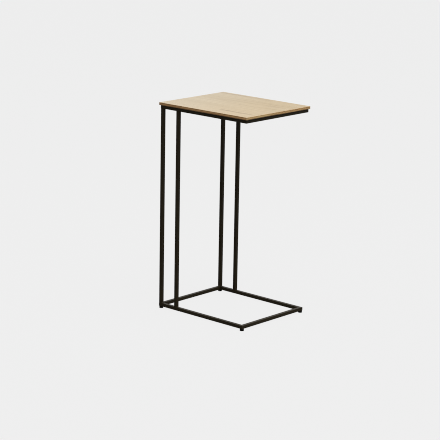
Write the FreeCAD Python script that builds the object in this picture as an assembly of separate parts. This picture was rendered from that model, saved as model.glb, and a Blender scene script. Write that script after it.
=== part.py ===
"""C-shaped side table: a thin wooden top on a welded frame of slim square tube.

Millimetres, +Z up. The origin is on the floor, under the middle of the top. The posts stand at the -X end,
so the C opens towards +X; left is -Y and right is +Y for someone who faces the open end.
"""
import FreeCAD, Part

import math
import os

from FreeCAD import Placement, Rotation, Vector

# Overall size
overall_height = 620.0

# Wooden top
panel_length = 339.0
panel_width = 278.0
panel_thickness = 8.0
panel_edge_radius = 1.5
panel_overhang = 4.0

# Square tube of the frame
tube_size = 10.0
tube_wall = 1.0
tube_corner_radius = 1.0
post_pitch = 61.5

# Weld beads: the leg of a fillet on each of the two faces that it joins, and how far its face bulges
post_weld_leg = 2.2
plate_weld_leg = 1.5
weld_bulge = 0.12

# Plates in the corners of the top frame that take the panel's screws
plate_leg = 32.0
plate_tip = 7.0
plate_corner_clip = 4.0
plate_thickness = 2.0
plate_weld_length = 14.0
screw_setback = 11.0

# Wood screws from below into the panel
screw_diameter = 3.5
screw_head_diameter = 7.0
screw_head_height = 2.4
screw_tip_length = 2.0
screw_hole_clearance = 0.4
pilot_clearance = 0.1
pilot_end_clearance = 0.5
wood_over_screw = 3.0

# Levelling feet
foot_stand = 6.0
foot_stop_gap = 0.3
glide_diameter = 12.0
glide_base_chamfer = 0.9
glide_floor = 1.8
stud_diameter = 4.0
stud_headroom = 0.6
stud_hole_clearance = 0.3
stud_seat_clearance = 0.02
thread_clearance = 0.05
block_clearance = 0.1
block_chamfer = 0.5

# Levels, from the floor up
base_bottom = foot_stand
base_top = base_bottom + tube_size
panel_top = overall_height
panel_bottom = panel_top - panel_thickness
top_frame_bottom = panel_bottom - tube_size
plate_top = panel_bottom - tube_corner_radius
plate_bottom = plate_top - plate_thickness
post_length = top_frame_bottom - base_top

# The outline of both frames and the lines that the tubes follow
frame_length = panel_length - 2 * panel_overhang
frame_width = panel_width - 2 * panel_overhang
tube_half = tube_size / 2
tube_bore = tube_size - 2 * tube_wall
tube_flat = tube_size - 2 * tube_corner_radius
corner_x = frame_length / 2 - tube_half
corner_y = frame_width / 2 - tube_half
inner_post_x = post_pitch - corner_x

UP = Vector(0, 0, 1)
CORNERS = {
    "back_left": (-1, -1),
    "back_right": (-1, 1),
    "front_left": (1, -1),
    "front_right": (1, 1),
}
SIDES = {"left": -1, "right": 1}


def rounded_square(size, radius):
    """Return the flat face of a square with rounded corners, centred on the origin."""
    half = size / 2
    inset = half - radius
    edges = []
    for turn in range(4):
        spin = Rotation(UP, 90 * turn)
        start = spin.multVec(Vector(half, -inset, 0))
        end = spin.multVec(Vector(half, inset, 0))
        middle_of_arc = spin.multVec(Vector(inset, inset, 0) + Vector(radius, radius, 0) * math.sqrt(0.5))
        end_of_arc = spin.multVec(Vector(inset, half, 0))
        edges.append(Part.LineSegment(start, end).toShape())
        edges.append(Part.Arc(end, middle_of_arc, end_of_arc).toShape())
    return Part.Face(Part.Wire(edges))


def square_tube(length):
    """Return a hollow square tube that stands on the origin."""
    outside = rounded_square(tube_size, tube_corner_radius).extrude(UP * length)
    bore = Part.makeBox(tube_bore, tube_bore, length, Vector(-tube_bore / 2, -tube_bore / 2, 0))
    return outside.cut(bore)


def prism(points, height):
    """Return a prism of the given height over a polygon in the XY plane."""
    corners = [Vector(x, y, 0) for x, y in points]
    return Part.Face(Part.makePolygon(corners + corners[:1])).extrude(UP * height)


def turned(profile):
    """Return the solid that a profile of (radius, height) points makes when it turns about Z."""
    corners = [Vector(radius, 0, height) for radius, height in profile]
    return Part.Face(Part.makePolygon(corners + corners[:1])).revolve(Vector(), UP, 360)


def placed(shape, position, turn=0.0):
    """Return a copy of the shape, turned about Z by some degrees and then moved."""
    copy = shape.copy()
    copy.Placement = Placement(position, Rotation(UP, turn)).multiply(copy.Placement)
    return copy


def mitred_rail(outer_length):
    """Return a tube along X, centred, whose ends are cut at 45 degrees with the long side at -Y."""
    tube = square_tube(outer_length)
    tube.Placement = Placement(Vector(-outer_length / 2, 0, 0), Rotation(Vector(0, 1, 0), 90))
    reach = tube_size
    outer_half = outer_length / 2 + reach - tube_half
    inner_half = outer_length / 2 - reach - tube_half
    plan = [(-outer_half, -reach), (outer_half, -reach), (inner_half, reach), (-inner_half, reach)]
    return tube.common(placed(prism(plan, 2 * reach), Vector(0, 0, -reach)))


def mitred_frame(bottom):
    """Return the four rails of a rectangular frame by the side that each one lies on."""
    level = bottom + tube_half
    side = mitred_rail(frame_length)
    end = mitred_rail(frame_width)
    return {
        "left": placed(side, Vector(0, -corner_y, level)),
        "right": placed(side, Vector(0, corner_y, level), 180),
        "front": placed(end, Vector(corner_x, 0, level), 90),
        "back": placed(end, Vector(-corner_x, 0, level), -90),
    }


def fillet_bead(leg, length, corner, along, out_of_first, out_of_second):
    """Return a weld bead in the inner corner of two faces.

    The bead runs both ways from the corner point along one direction. Its section has one leg on each face
    and a slightly bulged arc between their ends. The last two directions point out of the two faces.
    """
    on_second = out_of_first * leg
    on_first = out_of_second * leg
    bulge = (on_first + on_second) * (0.5 + weld_bulge)
    section = [
        Part.LineSegment(Vector(), on_second).toShape(),
        Part.Arc(on_second, bulge, on_first).toShape(),
        Part.LineSegment(on_first, Vector()).toShape(),
    ]
    bead = Part.Face(Part.Wire(section)).extrude(along * length)
    bead.translate(corner - along * (length / 2))
    return bead


def flush_bead(corner, along, out_of_post):
    """Return the weld that fills the groove over a rail's rounded edge, dressed flush with a post's face."""
    radius = tube_corner_radius
    slope = math.sqrt(0.5) * radius
    at_seat = out_of_post * -radius
    at_face = UP * -radius
    on_arc = out_of_post * (slope - radius) + UP * (slope - radius)
    section = [
        Part.LineSegment(Vector(), at_seat).toShape(),
        Part.Arc(at_seat, on_arc, at_face).toShape(),
        Part.LineSegment(at_face, Vector()).toShape(),
    ]
    bead = Part.Face(Part.Wire(section)).extrude(along * tube_flat)
    bead.translate(corner - along * (tube_flat / 2))
    return bead


def post_places():
    """Return each post's name with its X and Y."""
    places = {}
    for side, sign in SIDES.items():
        places["corner_post_" + side] = (-corner_x, sign * corner_y)
        places["inner_post_" + side] = (inner_post_x, sign * corner_y)
    return places


def open_directions(name, y):
    """Return the directions in which a rail carries on past a post, so that a bead can lie in the corner."""
    ahead = Vector(1, 0, 0)
    inward = Vector(0, -math.copysign(1, y), 0)
    return [ahead, inward] if name.startswith("corner") else [ahead, -ahead]


def post_beads(level, away_from_rail):
    """Return the fillets between all posts and the rails that they meet at one level."""
    beads = []
    for name, (x, y) in post_places().items():
        for outward in open_directions(name, y):
            corner = Vector(x, y, level) + outward * tube_half
            along = outward.cross(UP)
            beads.append(fillet_bead(post_weld_leg, tube_flat, corner, along, outward, away_from_rail))
    return beads


def foot_groove_beads():
    """Return the flush welds on those faces of the posts that stand over a base rail's rounded edge."""
    beads = []
    for name, (x, y) in post_places().items():
        for open_way in open_directions(name, y):
            flush_way = -open_way if name.startswith("corner") else open_way.cross(UP)
            corner = Vector(x, y, base_top) + flush_way * tube_half
            beads.append(flush_bead(corner, flush_way.cross(UP), flush_way))
    return beads


def make_panel():
    """Return the wooden top: softened edges, and blind pilot holes for the screws in its underside."""
    board = Part.makeBox(panel_length, panel_width, panel_thickness)
    board.translate(Vector(-panel_length / 2, -panel_width / 2, panel_bottom))
    board = board.makeFillet(panel_edge_radius, board.Edges)
    for x, y in screw_places():
        depth = panel_thickness - wood_over_screw + pilot_end_clearance
        pilot = Part.makeCylinder(screw_diameter / 2 + pilot_clearance, depth, Vector(x, y, panel_bottom))
        board = board.cut(pilot)
    return board


def inner_corner(sign_x, sign_y):
    """Return the point in plan where two rails' inner faces meet."""
    return Vector(sign_x * (corner_x - tube_half), sign_y * (corner_y - tube_half), 0)


def screw_places():
    """Return the X and Y of each screw, the same way in from both rails of its corner."""
    places = []
    for sign_x, sign_y in CORNERS.values():
        corner = inner_corner(sign_x, sign_y)
        places.append((corner.x - sign_x * screw_setback, corner.y - sign_y * screw_setback))
    return places


def make_plate(sign_x, sign_y):
    """Return one gusset plate in an inner corner of the top frame, with its screw hole."""
    corner = inner_corner(sign_x, sign_y)
    shape = [
        (plate_corner_clip, 0),
        (plate_leg, 0),
        (plate_leg, plate_tip),
        (plate_tip, plate_leg),
        (0, plate_leg),
        (0, plate_corner_clip),
    ]
    points = [(corner.x - sign_x * u, corner.y - sign_y * v) for u, v in shape]
    plate = placed(prism(points, plate_thickness), Vector(0, 0, plate_bottom))
    hole_x = corner.x - sign_x * screw_setback
    hole_y = corner.y - sign_y * screw_setback
    hole_radius = screw_diameter / 2 + screw_hole_clearance
    hole = Part.makeCylinder(hole_radius, plate_thickness, Vector(hole_x, hole_y, plate_bottom))
    return plate.cut(hole)


def plate_beads():
    """Return the fillets under the plates, along both rails of each corner."""
    beads = []
    middle = (plate_corner_clip + plate_leg) / 2
    for sign_x, sign_y in CORNERS.values():
        inward_x = Vector(-sign_x, 0, 0)
        inward_y = Vector(0, -sign_y, 0)
        corner = inner_corner(sign_x, sign_y) + UP * plate_bottom
        for along, out_of_rail in ((inward_x, inward_y), (inward_y, inward_x)):
            point = corner + along * middle
            beads.append(fillet_bead(plate_weld_leg, plate_weld_length, point, along, out_of_rail, -UP))
    return beads


def make_screw():
    """Return a pan-head wood screw whose head bears on z = 0 from below, with its point upwards."""
    head_radius = screw_head_diameter / 2
    shank_radius = screw_diameter / 2
    tip = panel_bottom - plate_bottom + panel_thickness - wood_over_screw
    return turned([
        (0, -screw_head_height),
        (head_radius, -screw_head_height),
        (head_radius, 0),
        (shank_radius, 0),
        (shank_radius, tip - screw_tip_length),
        (0, tip),
    ])


def foot_place(sign_x, sign_y):
    """Return the point on the floor under one corner of the base frame."""
    return Vector(sign_x * corner_x, sign_y * corner_y, 0)


def make_block():
    """Return a tapped block that fills the corner of two base rails and stands on their lower walls."""
    side = tube_bore - 2 * block_clearance
    floor = base_bottom + tube_wall
    block = Part.makeBox(side, side, side, Vector(-side / 2, -side / 2, floor))
    block = block.makeChamfer(block_chamfer, block.Edges)
    thread_radius = stud_diameter / 2 + thread_clearance
    return block.cut(Part.makeCylinder(thread_radius, side, Vector(0, 0, floor)))


def make_glide():
    """Return a round glide that stands on the floor, with a chamfered foot and a blind hole for its stud."""
    radius = glide_diameter / 2
    top = base_bottom - foot_stop_gap
    seat = stud_diameter / 2 + stud_seat_clearance
    return turned([
        (0, 0),
        (radius - glide_base_chamfer, 0),
        (radius, glide_base_chamfer),
        (radius, top),
        (seat, top),
        (seat, glide_floor),
        (0, glide_floor),
    ])


def make_stud():
    """Return a stud that stands in the glide and reaches up through the block in the corner of the base."""
    radius = stud_diameter / 2
    top = base_top - tube_wall - stud_headroom
    return turned([
        (0, glide_floor),
        (radius, glide_floor),
        (radius, top),
        (0, top),
    ])


def make_nodes():
    """Return every piece of the table by its name."""
    nodes = {"top_panel": make_panel()}

    for side, rail in mitred_frame(top_frame_bottom).items():
        nodes["top_rail_" + side] = rail

    foot_places = {corner: foot_place(*signs) for corner, signs in CORNERS.items()}
    hole_radius = stud_diameter / 2 + stud_hole_clearance
    stud_hole = Part.makeCylinder(hole_radius, tube_wall, Vector(0, 0, base_bottom))
    stud_holes = [placed(stud_hole, place) for place in foot_places.values()]
    for side, rail in mitred_frame(base_bottom).items():
        nodes["base_rail_" + side] = rail.cut(stud_holes)

    for name, (x, y) in post_places().items():
        nodes[name] = placed(square_tube(post_length), Vector(x, y, base_top))

    nodes["post_foot_welds"] = Part.makeCompound(post_beads(base_top, UP) + foot_groove_beads())
    nodes["post_head_welds"] = Part.makeCompound(post_beads(top_frame_bottom, -UP))
    nodes["plate_welds"] = Part.makeCompound(plate_beads())

    screw = make_screw()
    screws = [placed(screw, Vector(x, y, plate_bottom)) for x, y in screw_places()]
    nodes["panel_screws"] = Part.makeCompound(screws)

    for corner, place in foot_places.items():
        nodes["fixing_plate_" + corner] = make_plate(*CORNERS[corner])
        nodes["foot_block_" + corner] = placed(make_block(), place)
        nodes["foot_glide_" + corner] = placed(make_glide(), place)
        nodes["foot_stud_" + corner] = placed(make_stud(), place)
    return nodes


os.makedirs("parts", exist_ok=True)
for node_name, node_shape in make_nodes().items():
    node_shape.exportStep("parts/" + node_name + ".step")
    print(node_name, len(node_shape.Solids), "solids", round(node_shape.Volume, 1), "mm3")
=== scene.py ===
"""Looks of a C-shaped side table: an oak top on a powder-coated frame of slim square tube.

Metres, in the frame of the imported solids: +Z up, the floor at z = 0, the posts at the -X end.
"""
import logging
import math
from collections.abc import Iterable, Mapping, Sequence
from dataclasses import dataclass
from enum import Enum

import bpy
import numpy as np
from mathutils import Matrix, Vector


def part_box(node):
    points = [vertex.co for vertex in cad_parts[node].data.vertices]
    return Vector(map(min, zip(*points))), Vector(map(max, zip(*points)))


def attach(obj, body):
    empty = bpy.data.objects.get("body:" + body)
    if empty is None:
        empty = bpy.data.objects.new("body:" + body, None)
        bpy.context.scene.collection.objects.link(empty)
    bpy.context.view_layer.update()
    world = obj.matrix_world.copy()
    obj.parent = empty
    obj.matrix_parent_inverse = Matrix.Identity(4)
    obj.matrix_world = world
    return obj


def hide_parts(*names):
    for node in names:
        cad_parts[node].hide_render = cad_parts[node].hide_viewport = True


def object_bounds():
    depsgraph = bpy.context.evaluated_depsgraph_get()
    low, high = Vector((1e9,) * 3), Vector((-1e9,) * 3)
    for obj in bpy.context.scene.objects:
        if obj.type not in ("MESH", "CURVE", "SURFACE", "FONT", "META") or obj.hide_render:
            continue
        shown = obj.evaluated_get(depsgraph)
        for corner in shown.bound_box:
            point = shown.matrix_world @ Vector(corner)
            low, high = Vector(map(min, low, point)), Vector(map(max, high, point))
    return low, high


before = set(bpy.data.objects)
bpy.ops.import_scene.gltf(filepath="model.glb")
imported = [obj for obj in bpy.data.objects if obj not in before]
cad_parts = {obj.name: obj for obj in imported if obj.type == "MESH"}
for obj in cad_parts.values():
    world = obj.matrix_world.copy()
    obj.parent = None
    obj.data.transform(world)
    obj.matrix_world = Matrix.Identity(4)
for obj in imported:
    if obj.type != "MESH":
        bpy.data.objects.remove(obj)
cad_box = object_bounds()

LOG = logging.getLogger("side_table")
MM = 0.001
# Points in the same cell of this size, in metres, become one. The shift, in cells, keeps round sizes
# away from the cells' borders.
WELD_DISTANCE = 1e-7
WELD_SHIFT = 0.37
# Faces that meet at more than this keep a crisp edge between them.
SHARP_EDGE = math.radians(40)
# How much steeper a thread's flanks are than a plain triangle wave.
THREAD_FLANK = 1.4
# A mix node has sockets of its own for each kind of data: these are the ones for colours.
MIX_FIRST = 6
MIX_SECOND = 7
COLOUR_MIX = {"data_type": "RGBA", "out": 2}
UP = np.array([0.0, 0.0, 1.0])
SIDE_POSTS = ("left", "right")
RAIL_SIDES = ("left", "right", "front", "back")


class Corner(Enum):
    """The corners of the table, with the signs of their X and Y."""

    BACK_LEFT = (-1, -1)
    BACK_RIGHT = (-1, 1)
    FRONT_LEFT = (1, -1)
    FRONT_RIGHT = (1, 1)

    @property
    def tag(self) -> str:
        """The corner's word in the names of its nodes."""
        return self.name.lower()


class Slot(Enum):
    """The record's material slots."""

    WOOD = "wood_top"
    STEEL = "black_steel"
    ZINC = "zinc_steel"
    PLASTIC = "foot_plastic"


def linear(hex_colour: str) -> tuple[float, float, float, float]:
    """Turn an sRGB colour into the linear values that shaders take.

    The curve is the standard one: straight near black, and above that a shifted power of 2.4.

    Args:
        hex_colour: Six hex digits after a number sign.

    Returns:
        Linear red, green and blue, and full alpha.
    """
    coded = np.array([int(hex_colour[i:i + 2], 16) for i in (1, 3, 5)]) / 255
    light = np.where(coded <= 0.04045, coded / 12.92, ((coded + 0.055) / 1.055) ** 2.4)
    return (*light.tolist(), 1.0)


def add_node(
    tree: bpy.types.NodeTree,
    kind: str,
    inputs: Mapping[str | int, object] | None = None,
    out: str | int = 0,
    **settings: object,
) -> bpy.types.NodeSocket | None:
    """Add a node with its settings, its values and its links.

    Args:
        tree: The node tree that gets the node.
        kind: The node's type, without the words that all shader nodes share.
        inputs: A value, or another node's output, for each input by its name or number.
        out: The name or number of the output that is wanted.
        **settings: The node's own properties.

    Returns:
        The wanted output, or None from a node that has no outputs.
    """
    node = tree.nodes.new("ShaderNode" + kind)
    for key, value in settings.items():
        setattr(node, key, value)
    for key, value in (inputs or {}).items():
        if isinstance(value, bpy.types.NodeSocket):
            tree.links.new(value, node.inputs[key])
        else:
            node.inputs[key].default_value = value
    return node.outputs[out] if node.outputs else None


def weld(grids: Sequence[np.ndarray]) -> tuple[np.ndarray, np.ndarray, np.ndarray]:
    """Join the grids of one closed shape into points and faces.

    Four neighbouring points of a grid span a quad. Points in the same place become one, which
    closes seams and poles: a quad that loses a corner there becomes a triangle. If the volume,
    summed as the triple products of the faces' corners, comes out negative, all faces are turned
    round.

    Args:
        grids: Arrays of rows by columns by three.

    Returns:
        The points, the quads and the triangles.
    """
    quads = []
    start = 0
    for grid in grids:
        rows, columns = grid.shape[:2]
        index = np.arange(start, start + rows * columns).reshape(rows, columns)
        ring = [index[:-1, :-1], index[:-1, 1:], index[1:, 1:], index[1:, :-1]]
        quads.append(np.stack(ring, axis=-1).reshape(-1, 4))
        start += rows * columns
    points = np.concatenate([grid.reshape(-1, 3) for grid in grids])
    cells = np.round(points / WELD_DISTANCE + WELD_SHIFT).astype(np.int64)
    _, first, place = np.unique(cells, axis=0, return_index=True, return_inverse=True)
    points = points[first]
    faces = place.reshape(-1)[np.concatenate(quads)]
    own = faces != np.roll(faces, 1, axis=1)
    corners = own.sum(axis=1)
    whole = faces[corners == 4]
    cut = faces[corners == 3][own[corners == 3]].reshape(-1, 3)
    halves = np.concatenate([whole[:, [0, 1, 2]], whole[:, [0, 2, 3]], cut])
    a, b, c = (points[halves[:, i]] for i in range(3))
    if np.einsum("ij,ij->", a, np.cross(b, c)) < 0:
        whole = whole[:, ::-1]
        cut = cut[:, ::-1]
    return points, whole, cut


def surface_object(name: str, shapes: Iterable[Sequence[np.ndarray]]) -> bpy.types.Object:
    """Make one smooth object of one or more closed shapes.

    Args:
        name: The object's name.
        shapes: The grids of each closed shape.

    Returns:
        The object, at the origin and in the scene.
    """
    points: list[np.ndarray] = []
    faces: list[list[int]] = []
    start = 0
    for grids in shapes:
        own_points, quads, triangles = weld(grids)
        points.append(own_points)
        faces += (quads + start).tolist() + (triangles + start).tolist()
        start += len(own_points)
    mesh = bpy.data.meshes.new(name)
    mesh.from_pydata(np.concatenate(points).tolist(), [], faces)
    mesh.polygons.foreach_set("use_smooth", np.ones(len(mesh.polygons), bool))
    mesh.set_sharp_from_angle(angle=SHARP_EDGE)
    mesh.update()
    piece = bpy.data.objects.new(name, mesh)
    bpy.context.scene.collection.objects.link(piece)
    return piece


def arc(centre: tuple[float, float], radius: float, start: float, stop: float, count: int) -> np.ndarray:
    """Points of a circular arc: the centre plus the radius times the cosine and sine of each angle.

    Args:
        centre: The arc's centre in its plane.
        radius: Its radius.
        start: Its first angle in degrees.
        stop: Its last angle in degrees.
        count: How many points.

    Returns:
        An array of count by two.
    """
    angle = np.radians(np.linspace(start, stop, count))
    return np.array(centre) + radius * np.stack([np.cos(angle), np.sin(angle)], axis=-1)


def smooth_step(x: np.ndarray) -> np.ndarray:
    """A ramp from 0 to 1 that is level at both ends: three x squared less two x cubed."""
    x = np.clip(x, 0, 1)
    return x * x * (3 - 2 * x)


def tooth(phase: np.ndarray) -> np.ndarray:
    """A thread's outline over its phase in turns: a steep triangle wave, cut flat at crest and root."""
    wave = 1 - np.abs(2 * (phase % 1) - 1)
    return np.clip(THREAD_FLANK * (wave - 0.5) + 0.5, 0, 1)


def turned(
    radius: np.ndarray,
    height: np.ndarray | float,
    angle: np.ndarray,
    place: Sequence[float],
) -> np.ndarray:
    """Points at a radius, a height and an angle about an upright axis.

    Args:
        radius: Radii that broadcast to rows by columns.
        height: Heights above the place, likewise.
        angle: Angles in radians, likewise.
        place: The foot of the axis.

    Returns:
        An array of rows by columns by three.
    """
    radius, height, angle = np.broadcast_arrays(radius, height, angle)
    return np.stack([radius * np.cos(angle), radius * np.sin(angle), height], axis=-1) + np.array(place)


def full_circle(count: int) -> np.ndarray:
    """One row of angles for a whole turn, with the first angle again as the last."""
    return np.append(np.linspace(0, 2 * np.pi, count, endpoint=False), 0)[None, :]


@dataclass(frozen=True)
class Finish:
    """A finish that dresses pieces; each kind gives its own shader inputs."""

    name: str

    def inputs(self, tree: bpy.types.NodeTree) -> dict[str, object]:
        """Values and outputs for the surface shader, which each kind of finish works out."""
        raise NotImplementedError

    def material(self) -> bpy.types.Material:
        """Make the finish's material, or find it if it is there already.

        Returns:
            The material.
        """
        found = bpy.data.materials.get(self.name)
        if found:
            return found
        made = bpy.data.materials.new(self.name)
        made.use_nodes = True
        tree = made.node_tree
        tree.nodes.clear()
        surface = add_node(tree, "BsdfPrincipled", self.inputs(tree))
        add_node(tree, "OutputMaterial", {"Surface": surface})
        return made

    def dress(self, piece: bpy.types.Object) -> None:
        """Put the finish on every material slot of a piece.

        Args:
            piece: A new piece or a node of the frame.
        """
        if not piece.material_slots:
            piece.data.materials.append(None)
        for slot in piece.material_slots:
            slot.material = self.material()


@dataclass(frozen=True)
class Streaks:
    """Noise stretched along X: one layer of a wood's figure, and how strongly it shows."""

    across_mm: float
    along_mm: float
    weight: float = 1.0
    octaves: float = 2.0

    def noise(self, tree: bpy.types.NodeTree, place: bpy.types.NodeSocket) -> bpy.types.NodeSocket:
        """Work out the streaks.

        Args:
            tree: The material's nodes.
            place: Object coordinates.

        Returns:
            A value from 0 to 1, near 0.5 on the whole.
        """
        across = 1 / (self.across_mm * MM)
        along = 1 / (self.along_mm * MM)
        cells = add_node(tree, "Mapping", {"Vector": place, "Scale": (along, across, across)})
        return add_node(tree, "TexNoise", {"Vector": cells, "Scale": 1.0, "Detail": self.octaves})


@dataclass(frozen=True)
class GrowthRings:
    """Yearly rings of the log that the board was sawn from, whose heart runs along X below it."""

    heart_y_mm: float = 45.0
    heart_z_mm: float = 520.0
    ring_mm: float = 5.5
    late_wood: tuple[float, float] = (0.3, 0.95)
    sway_mm: float = 26.0
    sway: Streaks = Streaks(across_mm=70, along_mm=520)

    def darkness(self, tree: bpy.types.NodeTree, place: bpy.types.NodeSocket) -> bpy.types.NodeSocket:
        """Work out the rings: the distance from the heart, swayed by soft streaks and counted in rings.

        Within a ring the early wood darkens slowly to the late wood, which ends at once where the
        next ring begins.

        Args:
            tree: The material's nodes.
            place: Object coordinates.

        Returns:
            A value from 0 in early wood to 1 in late wood.
        """
        heart = (0, -self.heart_y_mm * MM, -self.heart_z_mm * MM)
        arm = add_node(tree, "Mapping", {"Vector": place, "Location": heart, "Scale": (0, 1, 1)})
        radius = add_node(tree, "VectorMath", {0: arm}, out="Value", operation="LENGTH")
        swayed = {0: self.sway.noise(tree, place), 1: self.sway_mm * MM, 2: radius}
        radius = add_node(tree, "Math", swayed, operation="MULTIPLY_ADD")
        count = add_node(tree, "Math", {0: radius, 1: self.ring_mm * MM}, operation="DIVIDE")
        year = add_node(tree, "Math", {0: count}, operation="FRACT")
        start, stop = self.late_wood
        band = {"Value": year, "From Min": start, "From Max": stop}
        return add_node(tree, "MapRange", band, interpolation_type="SMOOTHSTEP")


@dataclass(frozen=True)
class Vein:
    """A broken line on the board, with its place across, its ends along, its width and strength.

    The axis is the way across the line, and line is the way along it. It draws veins, a paler stretch
    and bands of painted shade.
    """

    axis: str
    at_mm: float
    ends_mm: tuple[float, float]
    width_mm: float
    weight: float
    fade_mm: float = 25.0
    breaks: Streaks = Streaks(across_mm=2.2, along_mm=40)
    broken: tuple[float, float] = (0.4, 0.55)
    line: str = "X"

    def strength(self, tree: bpy.types.NodeTree, place: bpy.types.NodeSocket) -> bpy.types.NodeSocket:
        """Work out the line: full at its place, faded to both sides and past its ends, and broken.

        Args:
            tree: The material's nodes.
            place: Object coordinates.

        Returns:
            A value from 0 off the line to its weight on it.
        """
        middle = sum(self.ends_mm) / 2
        half = abs(self.ends_mm[1] - self.ends_mm[0]) / 2
        shares = [self.breaks.noise(tree, place)]
        bands = [self.broken]
        across = (self.axis, self.at_mm, 0.0, self.width_mm)
        along = (self.line, middle, half, half + self.fade_mm)
        for axis, centre, full, none in (across, along):
            part = add_node(tree, "SeparateXYZ", {0: place}, out=axis)
            off = add_node(tree, "Math", {0: part, 1: centre * MM}, operation="SUBTRACT")
            shares.append(add_node(tree, "Math", {0: off}, operation="ABSOLUTE"))
            bands.append((none * MM, full * MM))
        strength: object = self.weight
        for share, (start, stop) in zip(shares, bands):
            band = {"Value": share, "From Min": start, "From Max": stop, "To Max": strength}
            strength = add_node(tree, "MapRange", band)
        return strength


@dataclass(frozen=True)
class FaceBand:
    """A mask by a face's slope: none where the size of one part of its normal is start, full at stop."""

    axis: str
    start: float
    stop: float

    def mask(self, tree: bpy.types.NodeTree) -> bpy.types.NodeSocket:
        """The mask from the face's normal, as a value from 0 to 1."""
        normal = add_node(tree, "NewGeometry", out="Normal")
        part = add_node(tree, "SeparateXYZ", {0: normal}, out=self.axis)
        size = add_node(tree, "Math", {0: part}, operation="ABSOLUTE")
        band = {"Value": size, "From Min": self.start, "From Max": self.stop}
        return add_node(tree, "MapRange", band, interpolation_type="SMOOTHSTEP")


# A vein on the broad face is a bundle of lines, each about a millimetre wide.
FINE_LINES = Streaks(across_mm=1.1, along_mm=34, octaves=4.0)


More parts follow.
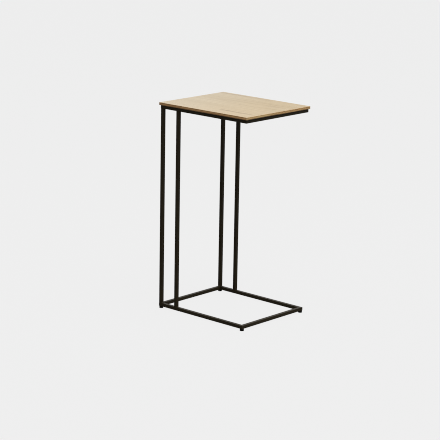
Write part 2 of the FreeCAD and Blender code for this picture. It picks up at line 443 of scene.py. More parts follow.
@dataclass(frozen=True)
class LacqueredOak(Finish):
    """Planed and sanded solid oak under a matt lacquer.

    The eye sees pale tan wood with fine straight streaks along X, soft yearly rings, short dark
    pores and a few dark veins. A painted sheen pales the wood towards -Y and greys the top towards
    -X. The sawn edges have soaked up more lacquer and are browner, and one stretch of the end grain
    is paler. Two darker lines run round the edges just under the top arris, and painted shade
    darkens the lower arris. The level arrises lie between face and edge in tone, and a painted
    highlight lightens the upright corners.
    """

    top: tuple[str, str] = ("#c7af86", "#e4cfab")
    side: tuple[str, str] = ("#a06636", "#fac684")
    end_grain: tuple[str, str] = ("#c48549", "#ffde9c")
    arris: str = "#d3a260"
    # A painted highlight on the rounded upright corners.
    corner: str = "#ffe2ac"
    # A painted sheen: the top greys towards -X.
    faded: str = "#e9e2d2"
    faded_mm: tuple[float, float] = (120.0, -200.0)
    faded_weight: float = 0.3
    # A painted sheen pales all the wood towards -Y.
    paling_per_m: tuple[float, float, float] = (0.0, -1.4, 0.0)
    # Pores and veins take the dark tone, and so does the painted shade along the lower arris.
    dark: str = "#7d5d3a"
    roughness: tuple[float, float] = (0.56, 0.46)
    layers: tuple[Streaks, ...] = (
        Streaks(across_mm=42, along_mm=600, weight=0.7),
        Streaks(across_mm=9, along_mm=300, weight=0.6),
        Streaks(across_mm=2.6, along_mm=90, weight=0.5),
        Streaks(across_mm=0.8, along_mm=22, weight=0.35),
    )
    rings: GrowthRings = GrowthRings()
    ring_weight: float = 0.3
    # Oak's pores are about 0.25 mm wide. They are drawn coarser than that, so that they show.
    pores: Streaks = Streaks(across_mm=0.7, along_mm=9, weight=0.45)
    pore_band: tuple[float, float] = (0.62, 0.72)
    veins: tuple[Vein, ...] = (
        Vein("Y", at_mm=-94, ends_mm=(42, 138), width_mm=8, weight=0.62, breaks=FINE_LINES),
        Vein("Y", at_mm=50, ends_mm=(95, 125), width_mm=28, weight=0.2, breaks=FINE_LINES),
        Vein("Y", at_mm=124, ends_mm=(-160, 15), width_mm=9, weight=0.42, breaks=FINE_LINES),
        # Two darker lines run round the edges just under the top arris. The bands at 613.2 mm are
        # painted shade along the lower arris, deepened on the ends between y = -130 and -10 mm.
        Vein("Z", at_mm=618.4, ends_mm=(-170, 170), width_mm=1.6, weight=0.75, broken=(0.25, 0.45)),
        Vein("Z", at_mm=618.9, ends_mm=(-170, 140), width_mm=1.1, weight=0.8, broken=(0.1, 0.3)),
        Vein("Z", at_mm=613.2, ends_mm=(-170, 170), width_mm=1.2, weight=0.6, broken=(0.2, 0.4)),
        Vein(
            "Z", at_mm=613.2, ends_mm=(-130, -10), width_mm=2.0, weight=1.0,
            fade_mm=14, broken=(0.05, 0.25), line="Y",
        ),
    )
    # The paler stretch ends below the broad face and short of the long sides: only the ends show it.
    pale_stretch: Vein = Vein(
        "Z", at_mm=616.5, ends_mm=(-92, -43), width_mm=3.5, weight=0.9,
        fade_mm=8, broken=(0.1, 0.3), line="Y",
    )
    upright: FaceBand = FaceBand("Z", start=0.85, stop=0.5)
    ahead: FaceBand = FaceBand("X", start=0.4, stop=0.8)
    # These two masks pick the rounded upright corners, which get a painted highlight.
    off_front: FaceBand = FaceBand("X", start=0.15, stop=0.5)
    off_flank: FaceBand = FaceBand("Y", start=0.15, stop=0.5)
    off_side: FaceBand = FaceBand("Z", start=0.5, stop=0.8)
    off_top: FaceBand = FaceBand("Z", start=1.0, stop=0.9)
    relief_mm: float = 0.06
    relief_strength: float = 0.5

    def inputs(self, tree: bpy.types.NodeTree) -> dict[str, object]:
        """Sum streaks, rings and a painted sheen, tone the faces, draw veins and painted shade and
        highlight, and sink the pores.

        Args:
            tree: The material's nodes.

        Returns:
            Base colour, roughness and normal.
        """
        place = add_node(tree, "TexCoord", out="Object")
        figure: object = (1 + self.ring_weight - sum(layer.weight for layer in self.layers)) / 2
        for layer in self.layers:
            terms = {0: layer.noise(tree, place), 1: layer.weight, 2: figure}
            figure = add_node(tree, "Math", terms, operation="MULTIPLY_ADD")
        terms = {0: self.rings.darkness(tree, place), 1: -self.ring_weight, 2: figure}
        figure = add_node(tree, "Math", terms, operation="MULTIPLY_ADD")
        # A painted sheen pales the wood towards -Y.
        slope = {0: place, 1: self.paling_per_m}
        sheen_paling = add_node(tree, "VectorMath", slope, out="Value", operation="DOT_PRODUCT")
        figure = add_node(tree, "Math", {0: figure, 1: sheen_paling}, operation="ADD")
        top, side, end = (
            add_node(
                tree, "Mix", {0: figure, MIX_FIRST: linear(deep), MIX_SECOND: linear(pale)}, **COLOUR_MIX
            )
            for deep, pale in (self.top, self.side, self.end_grain)
        )
        # A painted sheen greys the top towards -X.
        start, stop = (limit * MM for limit in self.faded_mm)
        along = add_node(tree, "SeparateXYZ", {0: place}, out="X")
        band = {"Value": along, "From Min": start, "From Max": stop, "To Max": self.faded_weight}
        share = add_node(tree, "MapRange", band, interpolation_type="SMOOTHSTEP")
        faded = {0: share, MIX_FIRST: top, MIX_SECOND: linear(self.faded)}
        top = add_node(tree, "Mix", faded, **COLOUR_MIX)
        # The normal tells the faces apart: upright ones are edges, and those across X are end grain.
        upright, ahead = (face.mask(tree) for face in (self.upright, self.ahead))
        # level picks the rounded arrises; the second mask picks the rounded upright corners for a
        # painted highlight.
        level, corner_glint = (
            add_node(tree, "Math", {0: one.mask(tree), 1: other.mask(tree)}, operation="MULTIPLY")
            for one, other in ((self.off_side, self.off_top), (self.off_front, self.off_flank))
        )
        edge = add_node(tree, "Mix", {0: ahead, MIX_FIRST: side, MIX_SECOND: end}, **COLOUR_MIX)
        colour = add_node(tree, "Mix", {0: upright, MIX_FIRST: top, MIX_SECOND: edge}, **COLOUR_MIX)
        start, stop = self.pore_band
        band = {"Value": self.pores.noise(tree, place), "From Min": start, "From Max": stop}
        pores = add_node(tree, "MapRange", band, interpolation_type="SMOOTHSTEP")
        faint = add_node(tree, "Math", {0: pores, 1: self.pores.weight}, operation="MULTIPLY")
        pale = self.pale_stretch.strength(tree, place)
        # The corner tone is a painted highlight.
        over = [(level, self.arris), (corner_glint, self.corner)]
        # The dark tone marks pores and veins, and paints shade along the lower arris.
        over += [(pale, self.end_grain[1]), (faint, self.dark)]
        over += [(dark_mark.strength(tree, place), self.dark) for dark_mark in self.veins]
        for share, tone in over:
            toned = {0: share, MIX_FIRST: colour, MIX_SECOND: linear(tone)}
            colour = add_node(tree, "Mix", toned, **COLOUR_MIX)

        dull, shiny = self.roughness
        height = add_node(tree, "Math", {0: figure, 1: pores}, operation="SUBTRACT")
        relief = {"Height": height, "Strength": self.relief_strength, "Distance": self.relief_mm * MM}
        return {
            "Base Color": colour,
            "Roughness": add_node(tree, "MapRange", {"Value": figure, "To Min": dull, "To Max": shiny}),
            "Normal": add_node(tree, "Bump", relief),
        }


@dataclass(frozen=True)
class Speckled(Finish):
    """A plain coating whose tone, gloss and skin vary a little, at a broad and a fine scale."""

    deep: str
    pale: str
    roughness: tuple[float, float]
    metallic: float
    cloud_mm: float
    skin_mm: float
    relief_mm: float
    specular: float = 0.5
    octaves: float = 3.0
    tone_band: tuple[float, float] = (0.75, 1.25)
    gloss_band: tuple[float, float] = (0.3, 0.7)
    relief_strength: float = 0.4

    def inputs(self, tree: bpy.types.NodeTree) -> dict[str, object]:
        """Tone and gloss follow soft clouds; the skin's relief follows a fine noise.

        Args:
            tree: The material's nodes.

        Returns:
            Base colour, metallic, roughness, specular level and normal.
        """
        place = add_node(tree, "TexCoord", out="Object")
        clouds, skin = (
            add_node(
                tree, "TexNoise", {"Vector": place, "Scale": 1 / (size * MM), "Detail": self.octaves}
            )
            for size in (self.cloud_mm, self.skin_mm)
        )
        tone = add_node(tree, "Math", {0: clouds, 1: skin}, operation="ADD")
        start, stop = self.tone_band
        tone = add_node(tree, "MapRange", {"Value": tone, "From Min": start, "From Max": stop})
        tones = {0: tone, MIX_FIRST: linear(self.deep), MIX_SECOND: linear(self.pale)}
        start, stop = self.gloss_band
        low, high = self.roughness
        gloss = {"Value": clouds, "From Min": start, "From Max": stop, "To Min": low, "To Max": high}
        relief = {"Height": skin, "Strength": self.relief_strength, "Distance": self.relief_mm * MM}
        return {
            "Base Color": add_node(tree, "Mix", tones, **COLOUR_MIX),
            "Metallic": self.metallic,
            "Roughness": add_node(tree, "MapRange", gloss),
            "Specular IOR Level": self.specular,
            "Normal": add_node(tree, "Bump", relief),
        }


# Polyester powder baked on steel: warm near-black with a satin sheen and the soft waves of orange peel.
POWDER_COAT = Speckled(
    "baked_black_powder_coat",
    deep="#2f2718",
    pale="#3b3321",
    roughness=(0.42, 0.52),
    metallic=0.0,
    cloud_mm=24,
    skin_mm=1.4,
    relief_mm=0.004,
    specular=0.17,
)
# Bright zinc plated on rolled and turned steel: a cool grey metal with cloudy gloss and tool marks.
# The marks are about 0.1 mm apart, and are drawn coarser, so that they show.
ZINC_PLATE = Speckled(
    "bright_zinc_plated_steel",
    deep="#9fa3a6",
    pale="#c3c6c8",
    roughness=(0.22, 0.42),
    metallic=1.0,
    cloud_mm=5,
    skin_mm=0.35,
    relief_mm=0.01,
)
# Polyamide moulded in a spark-eroded tool: dense black with a dull grain. The grain is under 0.1 mm,
# and is drawn coarser, so that it shows.
NYLON = Speckled(
    "moulded_black_nylon",
    deep="#100e0a",
    pale="#181611",
    roughness=(0.45, 0.6),
    metallic=0.0,
    cloud_mm=4,
    skin_mm=0.25,
    relief_mm=0.02,
    specular=0.2,
)
OAK = LacqueredOak("sanded_lacquered_oak")


def fit(piece: bpy.types.Object, finish: Finish, slot: Slot, body: str, *nodes: str) -> bpy.types.Object:
    """Dress a new piece and set it on the frame in place of its nodes.

    Args:
        piece: The new piece.
        finish: Its finish.
        slot: The record's slot that the finish stands for; not used.
        body: The body that carries it.
        *nodes: The nodes that it stands for.

    Returns:
        The piece.
    """
    finish.dress(piece)
    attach(piece, body)
    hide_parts(*nodes)
    return piece


@dataclass
class WoodTop:
    """The board, with arrises eased by hand."""

    arris_radius: float = 1.5 * MM
    arris_steps: int = 9
    corner_steps: int = 8
    cell: float = 6 * MM
    support: float = 0.15 * MM
    fullness: float = 2.2
    fullness_swing: float = 0.25
    swing_waves: tuple[int, int] = (11, 29)

    def lines(self, half: float) -> np.ndarray:
        """Grid lines across a flat: even steps, and a narrow one at each end that keeps the flat flat.

        Args:
            half: Half the flat's size.

        Returns:
            The lines' places, from minus half to half.
        """
        inner = half - self.support
        steps = round(2 * inner / self.cell) + 1
        return np.concatenate([[-half], np.linspace(-inner, inner, steps), [half]])

    def rim_path(self, half_x: float, half_y: float) -> tuple[np.ndarray, np.ndarray]:
        """The rectangle about which the rim is rolled, and the outward direction all round it.

        Args:
            half_x: Half the rectangle's length.
            half_y: Half its width.

        Returns:
            Points and unit directions, the first one again as the last.
        """
        x = self.lines(half_x)
        y = self.lines(half_y)
        runs = [(half_x + 0 * y, y), (-x, half_y + 0 * x), (-half_x + 0 * y, -y), (x, -half_y + 0 * x)]
        points = []
        angles = []
        for quarter, run in enumerate(runs):
            run_points = np.stack(run, axis=-1)
            turn = np.linspace(quarter, quarter + 1, self.corner_steps + 1)[1:]
            points += [run_points, np.repeat(run_points[-1:], self.corner_steps, axis=0)]
            angles += [np.full(len(run_points), quarter), turn]
        angle = np.concatenate(angles) * np.pi / 2
        outward = np.stack([np.cos(angle), np.sin(angle)], axis=-1)
        return np.concatenate(points), outward

    def build(self) -> list[bpy.types.Object]:
        """Build the board from two flat grids and a rim.

        The rim carries one profile round the path. From the flat below to the flat above it goes out
        and in again along two quarter curves, the powers 2 / n of sine and cosine. n, the fullness of
        the arris, swings a little along the path, as it does where the arris is sanded by hand.

        Returns:
            The board.
        """
        lo, hi = (np.array(corner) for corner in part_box("top_panel"))
        centre = (lo + hi) / 2
        half_x, half_y = (hi - lo)[:2] / 2 - self.arris_radius
        points, outward = self.rim_path(half_x, half_y)
        along = np.linspace(0, 2 * np.pi, len(points))
        swing = sum(np.sin(waves * along) for waves in self.swing_waves)
        power = 2 / (self.fullness + self.fullness_swing * swing / 2)
        angle = np.linspace(0, np.pi / 2, self.arris_steps)[:, None]
        reach = self.arris_radius * np.sin(angle) ** power
        rise = self.arris_radius * (1 - np.cos(angle) ** power)
        reach = np.concatenate([reach, reach[::-1]])
        height = np.concatenate([lo[2] + rise, hi[2] - rise[::-1]])
        plan = centre[:2] + points + reach[:, :, None] * outward
        rim = np.concatenate([plan, height[:, :, None]], axis=-1)

        x = centre[0] + self.lines(half_x)
        y = centre[1] + self.lines(half_y)
        upper = np.stack([*np.meshgrid(x, y), np.full((len(y), len(x)), hi[2])], axis=-1)
        lower = np.stack([*np.meshgrid(x, y, indexing="ij"), np.full((len(x), len(y)), lo[2])], axis=-1)
        board = surface_object("oak_top", [[rim, upper, lower]])
        return [fit(board, OAK, Slot.WOOD, "table", "top_panel")]


@dataclass
class TubeFrame:
    """The square tubes and corner plates, whose solids are right as they are, and get their coat."""

    def build(self) -> list[bpy.types.Object]:
        """Dress the rails, posts and plates.

        Returns:
            Their nodes.
        """
        rails = [f"{level}_rail_{side}" for level in ("base", "top") for side in RAIL_SIDES]
        posts = [f"{kind}_post_{side}" for kind in ("corner", "inner") for side in SIDE_POSTS]
        plates = [f"fixing_plate_{corner.tag}" for corner in Corner]
        pieces = [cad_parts[name] for name in rails + posts + plates]
        for piece in pieces:
            POWDER_COAT.dress(piece)
        return pieces


@dataclass
class Seam:
    """The corner of two faces that a bead lies in: its middle, its line and the ways out of each."""

    middle: np.ndarray
    along: np.ndarray
    out_of_first: np.ndarray
    out_of_second: np.ndarray

    def carry(self, first: np.ndarray, second: np.ndarray, reach: np.ndarray) -> np.ndarray:
        """Points at two distances out of the corner and one along it.

        Args:
            first: Distances along the way out of the first face, rows by columns.
            second: Distances along the way out of the second face.
            reach: Distances from the middle, along the seam.

        Returns:
            An array of rows by columns by three.
        """
        first, second, reach = np.broadcast_arrays(first, second, reach)
        ways = np.stack([self.out_of_first, self.out_of_second, self.along])
        return self.middle + np.stack([first, second, reach], axis=-1) @ ways


@dataclass
class WeldBeads:
    """The welds of the frame: rippled fillets, and groove fills that were dressed flush."""

    post_leg: float = 2.2 * MM
    post_length: float = 8.0 * MM
    plate_leg: float = 1.5 * MM
    plate_length: float = 14.0 * MM
    plate_seam_start: float = 4.0 * MM
    groove: float = 1.0 * MM
    bulge: float = 0.1
    ripple: float = 0.05
    ripple_pitch: float = 0.9 * MM
    ripple_lag: float = 0.35
    end_power: int = 5
    rows: int = 97
    columns: int = 13

    def fillet(self, seam: Seam, leg: float, length: float) -> list[np.ndarray]:
        """A fillet whose face bulges and ripples.

        Across the bead, t goes from one leg's end to the other's. A point there lies at 1 - t and t
        legs out of the two faces, plus a bulge of t(1 - t). Along the bead the bulge swells in
        scallops that trail in the middle of the bead like crescents. The whole section shrinks to a
        point at each end, as the root of one less a high power of the share of the way there.

        Args:
            seam: Where the bead lies.
            leg: Its leg on each face.
            length: Its length.

        Returns:
            The grid that runs from the root over the face and back to the root.
        """
        along = -np.cos(np.linspace(0, np.pi, self.rows))[:, None]
        reach = along * length / 2
        size = leg * np.sqrt(1 - np.abs(along) ** self.end_power)
        t = np.linspace(0, 1, self.columns)[None, :]
        arch = 4 * t * (1 - t)
        scallop = np.abs(np.sin(np.pi * (reach / self.ripple_pitch + self.ripple_lag * arch)))
        swell = arch * (self.bulge + self.ripple * scallop)
        face = seam.carry(size * (1 - t + swell), size * (t + swell), reach)
        root = seam.carry(0 * size, 0 * size, reach)
        return [np.concatenate([root, face, root], axis=1)]

    def fill(self, seam: Seam) -> list[np.ndarray]:
        """A groove fill: the corner of two faces, less the quarter circle of the tube's rounded edge.

        Args:
            seam: The groove, with its first way out pointing out of the post and its second one up.

        Returns:
            The grid of the whole outline, drawn to a point at each end.
        """
        edge = arc((-self.groove, -self.groove), self.groove, 90, 0, self.columns)
        outline = np.concatenate([[[0, 0]], edge, [[0, 0]]])
        middle = edge.mean(axis=0) / 2
        # Four stations along the groove: a point and the whole outline at each end.
        share = np.array([0.0, 1.0, 1.0, 0.0])[:, None, None]
        section = middle + share * (outline - middle)
        reach = np.array([-0.5, -0.5, 0.5, 0.5])[:, None] * self.post_length
        return [seam.carry(section[:, :, 0], section[:, :, 1], reach)]

    def post_seams(self, foot: bool) -> tuple[list[Seam], list[Seam]]:
        """The seams at the posts' feet or heads.

        Args:
            foot: Whether the feet are meant, and not the heads.

        Returns:
            The seams that take fillets, and the grooves over the rails' rounded edges.
        """
        fillets = []
        grooves = []
        away = UP if foot else -UP
        ahead = np.array([1.0, 0.0, 0.0])
        for side, sign in zip(SIDE_POSTS, (-1, 1)):
            inward = np.array([0.0, -sign, 0.0])
            for kind, ways in (("corner", (ahead, inward)), ("inner", (ahead, -ahead))):
                lo, hi = (np.array(corner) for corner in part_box(f"{kind}_post_{side}"))
                middle = (lo + hi) / 2
                middle[2] = lo[2] if foot else hi[2]
                half = (hi - lo)[0] / 2
                for way in ways:
                    fillets.append(Seam(middle + way * half, np.cross(way, UP), way, away))
                    flush = -way if kind == "corner" else np.cross(way, UP)
                    grooves.append(Seam(middle + flush * half, np.cross(flush, UP), flush, away))
        return fillets, grooves

    def plate_seams(self) -> list[Seam]:
        """The seams under the corner plates, along both rails of each corner.

        Returns:
            Two seams for each plate.
        """
        seams = []
        for corner in Corner:
            lo, hi = (np.array(point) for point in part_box(f"fixing_plate_{corner.tag}"))
            sign_x, sign_y = corner.value
            inner = np.array([hi[0] if sign_x > 0 else lo[0], hi[1] if sign_y > 0 else lo[1], lo[2]])
            middle = (self.plate_seam_start + (hi - lo)[0]) / 2
            ways = np.array([[-sign_x, 0, 0], [0, -sign_y, 0]], float)
            for along, out_of_rail in (ways, ways[::-1]):
                seams.append(Seam(inner + along * middle, along, out_of_rail, -UP))
        return seams

    def build(self) -> list[bpy.types.Object]:
        """Build the beads of each group.

        Returns:
            The three groups.
        """
        feet, grooves = self.post_seams(foot=True)
        heads, _ = self.post_seams(foot=False)
        plates = self.plate_seams()
        shapes = {
            "post_foot_welds": [self.fillet(seam, self.post_leg, self.post_length) for seam in feet]
            + [self.fill(seam) for seam in grooves],
            "post_head_welds": [self.fillet(seam, self.post_leg, self.post_length) for seam in heads],
            "plate_welds": [self.fillet(seam, self.plate_leg, self.plate_length) for seam in plates],
        }
        return [
            fit(surface_object(f"rippled_{node}", group), POWDER_COAT, Slot.STEEL, "table", node)
            for node, group in shapes.items()
        ]


@dataclass
class PanelScrews:
    """Pan-head wood screws with a cross recess, from below through the corner plates."""

    setback: float = 11.0 * MM
    head_radius: float = 3.5 * MM
    head_height: float = 2.4 * MM
    head_power: float = 3.2
    recess_reach: float = 1.9 * MM
    recess_half_width: float = 0.5 * MM
    recess_depth: float = 1.3 * MM
    recess_edge: float = 0.15 * MM
    recess_rise: float = 0.5
    shank_radius: float = 1.75 * MM
    thread_depth: float = 0.5 * MM
    thread_pitch: float = 1.5 * MM
    tip: float = 2.0 * MM
    head_rows: int = 30
    shank_rows: int = 70
    columns: int = 96
    turn_step: float = 0.7

    def screw(self, place: np.ndarray, length: float, turn: float) -> list[np.ndarray]:
        """One screw that hangs from the point where its head bears, with its tip upwards.

        The head has the pan shape of a superellipse: its radius and depth, as shares of the greatest
        and raised to a power, add up to one. The recess lifts the points that lie within two crossing
        bars. The shank's radius follows a thread's tooth whose phase is the height in pitches less the
        angle in turns, and narrows to nothing at the tip.

        Args:
            place: Where the head bears.
            length: How far the tip is above that.
            turn: How far the recess is turned, in radians.

        Returns:
            The screw's grid.
        """
        angle = full_circle(self.columns)
        bow = np.linspace(0, np.pi / 2, self.head_rows)[:, None]
        radius = self.head_radius * np.sin(bow)
        rest = np.clip(1 - np.sin(bow) ** self.head_power, 0, 1)
        height = -self.head_height * rest ** (1 / self.head_power)
        x = np.abs(radius * np.cos(angle + turn))
        y = np.abs(radius * np.sin(angle + turn))
        near = np.minimum(x, y)
        far = np.maximum(x, y)
        inside = smooth_step((self.recess_half_width - near) / self.recess_edge)
        inside = inside * smooth_step((self.recess_reach - far) / self.recess_edge)
        floor = self.recess_depth * (1 - self.recess_rise * far / self.recess_reach)
        head = turned(radius, height + inside * floor, angle, place)

        climb = np.linspace(0, length, self.shank_rows)[:, None]
        phase = climb / self.thread_pitch - angle / (2 * np.pi)
        taper = np.clip((length - climb) / self.tip, 0, 1)
        thread = self.shank_radius - self.thread_depth * (1 - tooth(phase))
        shank = turned(thread * taper, climb, angle, place)
        return [np.concatenate([head, shank])]

    def build(self) -> list[bpy.types.Object]:
        """Build the four screws as one group.

        Returns:
            The group.
        """
        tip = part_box("panel_screws")[1][2]
        screws = []
        for number, corner in enumerate(Corner):
            lo, hi = (np.array(point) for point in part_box(f"fixing_plate_{corner.tag}"))
            signs = np.array(corner.value)
            plan = np.where(signs > 0, hi[:2], lo[:2]) - signs * self.setback
            screws.append(self.screw(np.append(plan, lo[2]), tip - lo[2], number * self.turn_step))
        group = surface_object("pan_head_screws", screws)
        return [fit(group, ZINC_PLATE, Slot.ZINC, "table", "panel_screws")]


@dataclass
class LevellingFoot:
    """A moulded glide on a threaded stud, with the block in the frame that takes the stud."""

    corner: Corner
    base_round: float = 0.9 * MM
    top_round: float = 0.5 * MM
    draft: float = 0.15 * MM
    stud_fit: float = 0.02 * MM
    thread_pitch: float = 0.7 * MM
    thread_depth: float = 0.43 * MM
    stud_chamfer: float = 0.5 * MM
    round_steps: int = 9
    glide_columns: int = 64
    stud_columns: int = 40
    rows_per_turn: int = 10

    def glide(self, lo: np.ndarray, hi: np.ndarray, bore: float, floor: float) -> list[np.ndarray]:
        """A profile turned about the foot's axis: flat base, rounded edge, drafted wall and seat.

        Args:
            lo: Lowest corner of the glide's box.
            hi: Its highest corner.
            bore: The radius of the stud that sits in it.
            floor: The level of that stud's lower end.

        Returns:
            The glide's grid.
        """
        radius = (hi - lo)[0] / 2
        shoulder = radius - self.draft - self.top_round
        seat = bore + self.stud_fit
        foot = (radius - self.base_round, lo[2] + self.base_round)
        head = (shoulder, hi[2] - self.top_round)
        profile = np.concatenate([
            [[0, lo[2]]],
            arc(foot, self.base_round, -90, 0, self.round_steps),
            arc(head, self.top_round, 0, 90, self.round_steps),
            [[seat, hi[2]], [seat, floor], [0, floor]],
        ])
        centre = (lo + hi) / 2
        place = (centre[0], centre[1], 0)
        return [turned(profile[:, :1], profile[:, 1:], full_circle(self.glide_columns), place)]

    def stud(self, lo: np.ndarray, hi: np.ndarray) -> list[np.ndarray]:
        """A threaded stud: its radius follows the thread's tooth, under a chamfer at each end.

        Args:
            lo: Lowest corner of the stud's box.
            hi: Its highest corner.

        Returns:
            The stud's grid.
        """
        radius = (hi - lo)[0] / 2
        rows = round((hi - lo)[2] / self.thread_pitch * self.rows_per_turn)
        climb = np.linspace(lo[2], hi[2], rows)[:, None]
        angle = full_circle(self.stud_columns)
        phase = climb / self.thread_pitch - angle / (2 * np.pi)
        thread = radius - self.thread_depth * (1 - tooth(phase))
        end = np.minimum(climb - lo[2], hi[2] - climb)
        wall = np.minimum(thread, radius - self.stud_chamfer + end)
        centre = (lo + hi) / 2
        place = (centre[0], centre[1], 0)
        body = turned(wall, climb, angle, place)
        below, above = (turned(np.zeros((1, 1)), level, angle, place) for level in (lo[2], hi[2]))
        return [np.concatenate([below, body, above])]

    def build(self) -> list[bpy.types.Object]:
        """Build the glide and the stud, and dress the block.

        Returns:
            The three pieces.
        """
        tag = self.corner.tag
        stud_lo, stud_hi = (np.array(point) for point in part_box(f"foot_stud_{tag}"))
        lo, hi = (np.array(point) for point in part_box(f"foot_glide_{tag}"))
        bore = (stud_hi - stud_lo)[0] / 2
        glide = surface_object(f"moulded_glide_{tag}", [self.glide(lo, hi, bore, stud_lo[2])])
        stud = surface_object(f"threaded_stud_{tag}", [self.stud(stud_lo, stud_hi)])
        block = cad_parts[f"foot_block_{tag}"]
        ZINC_PLATE.dress(block)
        fit(glide, NYLON, Slot.PLASTIC, f"foot_{tag}", f"foot_glide_{tag}")
        fit(stud, ZINC_PLATE, Slot.ZINC, f"foot_{tag}", f"foot_stud_{tag}")
        return [glide, stud, block]


@dataclass(frozen=True)
class PhotoCamera:
    """A camera at the photograph's place, from a fit to the table's straight edges."""

    image_px: float = 440.0
    focal_px: float = 1714.04
    aim_px: tuple[float, float] = (232.52, 208.57)
    azimuth: float = math.radians(41.6454)
    pitch: float = math.radians(13.3032)
    roll: float = math.radians(1.1481)
    distance: float = 5.0265
    sensor_mm: float = 36.0
    clip: tuple[float, float] = (0.1, 200.0)

    def sight(self) -> np.ndarray:
        """The direction from the camera to its aim."""
        plan = math.cos(self.pitch) * np.array([-math.sin(self.azimuth), math.cos(self.azimuth)])
        return np.append(plan, -math.sin(self.pitch))

    def axes(self) -> np.ndarray:
        """Work out the camera's directions.

        The camera first looks straight at its aim from the azimuth and the pitch, then rolls about
        that line, and last turns a little, so that the aim shows at its own pixel and not in the
        middle of the picture.

        Returns:
            Three rows: right, down and forward.
        """
        right = np.array([math.cos(self.azimuth), math.sin(self.azimuth), 0])
        down = np.cross(self.sight(), right)
        rolled_right = math.cos(self.roll) * right - math.sin(self.roll) * down
        rolled_down = math.sin(self.roll) * right + math.cos(self.roll) * down
        offset = (np.array(self.aim_px) - self.image_px / 2) / self.focal_px
        ray = np.append(offset, 1) / np.linalg.norm(np.append(offset, 1))
        across = np.array([1, 0, 0]) - ray[0] * ray
        across /= np.linalg.norm(across)
        turn = np.stack([across, np.cross(ray, across), ray], axis=1)
        return turn @ np.stack([rolled_right, rolled_down, self.sight()])

    def build(self, aim: np.ndarray) -> bpy.types.Object:
        """Make the camera and give it to the scene.

        Args:
            aim: The point that the camera looks at.

        Returns:
            The camera.
        """
        data = bpy.data.cameras.new("photo_camera")
        data.sensor_width = self.sensor_mm
        data.lens = self.focal_px / self.image_px * self.sensor_mm
        data.clip_start, data.clip_end = self.clip
        camera = bpy.data.objects.new("photo_camera", data)
        bpy.context.scene.collection.objects.link(camera)
        right, down, forward = self.axes()
        place = Matrix(np.stack([right, -down, -forward], axis=1).tolist()).to_4x4()
        place.translation = (aim - self.distance * self.sight()).tolist()
        camera.matrix_world = place
        bpy.context.scene.camera = camera
        return camera


@dataclass(frozen=True)
class SoftBox:
    """A square light with its place, the point it faces, its side and its power in watts."""

    name: str
    place: tuple[float, float, float]
    aim: tuple[float, float, float]
    side: float
    power: float

    def build(self) -> bpy.types.Object:
        """Hang the light and turn it to its aim.

        Returns:
            The light.
        """
        data = bpy.data.lights.new(self.name, "AREA")
        data.size = self.side
        data.energy = self.power
        light = bpy.data.objects.new(self.name, data)
        bpy.context.scene.collection.objects.link(light)
        light.location = self.place
        way = Vector(self.aim) - Vector(self.place)
        light.rotation_euler = way.to_track_quat("-Z", "Y").to_euler()
        return light


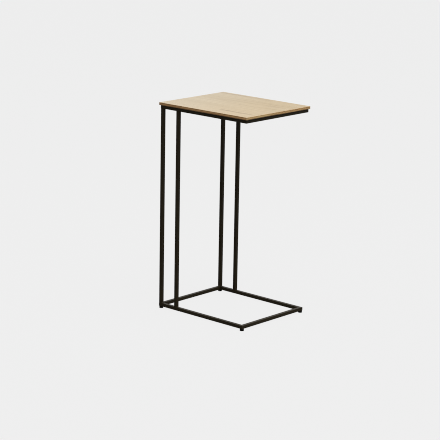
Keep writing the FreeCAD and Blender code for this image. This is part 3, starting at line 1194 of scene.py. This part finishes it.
@dataclass(frozen=True)
class Studio:
    """A pale paper floor that fills the picture, a soft box above, and a room brightest at the back.

    The room dims below the horizon, so that undersides and lower arrises lie in shade.
    """

    paper: str = "#efefef"
    floor_half: float = 60.0
    shadow_share: float = 0.03
    room_front: float = 0.36
    room_back: float = 1.0
    room_turn: tuple[float, float] = (0.0, 0.7)
    room_low: float = 0.35
    room_rise: tuple[float, float] = (-0.25, 0.05)
    bright_azimuth: float = math.radians(36)
    pixel_blur: float = 1.0
    key: SoftBox = SoftBox(
        "overhead_soft_box", place=(2.1, -0.28, 5.1), aim=(0.0, 0.0, 0.5), side=3.9, power=172.0,
    )

    def floor(self) -> bpy.types.Object:
        """Lay the floor: evenly bright paper with only a trace of shadow, and clear from below.

        Returns:
            The floor.
        """
        side = np.array([-self.floor_half, self.floor_half])
        flat = np.stack([*np.meshgrid(side, side), np.zeros((2, 2))], axis=-1)
        sheet = surface_object("paper_floor", [[flat]])
        made = bpy.data.materials.new("matt_white_paper")
        made.use_nodes = True
        tree = made.node_tree
        tree.nodes.clear()
        glow = add_node(tree, "Emission", {"Color": linear(self.paper)})
        matt = add_node(tree, "BsdfDiffuse", {"Color": linear(self.paper)})
        paper = add_node(tree, "MixShader", {0: self.shadow_share, 1: glow, 2: matt})
        below = add_node(tree, "NewGeometry", out="Backfacing")
        clear = add_node(tree, "BsdfTransparent")
        surface = add_node(tree, "MixShader", {0: below, 1: paper, 2: clear})
        add_node(tree, "OutputMaterial", {"Surface": surface})
        sheet.data.materials.append(made)
        sheet.visible_diffuse = False
        sheet.visible_glossy = False
        return sheet

    def build(self) -> list[bpy.types.Object]:
        """Lay the floor, light the room and set how colours show.

        Returns:
            The floor and the light.
        """
        scene = bpy.context.scene
        scene.view_settings.view_transform = "Standard"
        # The photograph is sharp: a pixel gathers light from its own square and little more.
        scene.cycles.filter_width = self.pixel_blur
        scene.world = bpy.data.worlds.new("even_room")
        scene.world.use_nodes = True
        tree = scene.world.node_tree
        tree.nodes.clear()
        behind = (-math.sin(self.bright_azimuth), math.cos(self.bright_azimuth), 0.0)
        way = add_node(tree, "TexCoord", out="Generated")
        facing = add_node(tree, "VectorMath", {0: way, 1: behind}, out="Value", operation="DOT_PRODUCT")
        start, stop = self.room_turn
        glow = {"Value": facing, "From Min": start, "From Max": stop}
        glow |= {"To Min": self.room_front, "To Max": self.room_back}
        strength = add_node(tree, "MapRange", glow, interpolation_type="SMOOTHSTEP")
        start, stop = self.room_rise
        height = add_node(tree, "SeparateXYZ", {0: way}, out="Z")
        lift = {"Value": height, "From Min": start, "From Max": stop, "To Min": self.room_low}
        share = add_node(tree, "MapRange", lift, interpolation_type="SMOOTHSTEP")
        strength = add_node(tree, "Math", {0: strength, 1: share}, operation="MULTIPLY")
        add_node(tree, "OutputWorld", {"Surface": add_node(tree, "Background", {"Strength": strength})})
        return [self.floor(), self.key.build()]


Assembly = WoodTop | TubeFrame | WeldBeads | PanelScrews | LevellingFoot | Studio


def main() -> None:
    """Build the table from the top down, then the studio and the camera, and log each piece made."""
    logging.basicConfig(level=logging.INFO, format="%(name)s: %(message)s")
    assemblies: list[Assembly] = [WoodTop(), TubeFrame(), WeldBeads(), PanelScrews()]
    assemblies += [LevellingFoot(corner) for corner in Corner]
    assemblies.append(Studio())
    for assembly in assemblies:
        for piece in assembly.build():
            LOG.info("%s made %s", type(assembly).__name__, piece.name)
    lo, hi = (np.array(corner) for corner in cad_box)
    PhotoCamera().build(np.array([0, 0, (lo + hi)[2] / 2]))


if __name__ == "__main__":
    main()
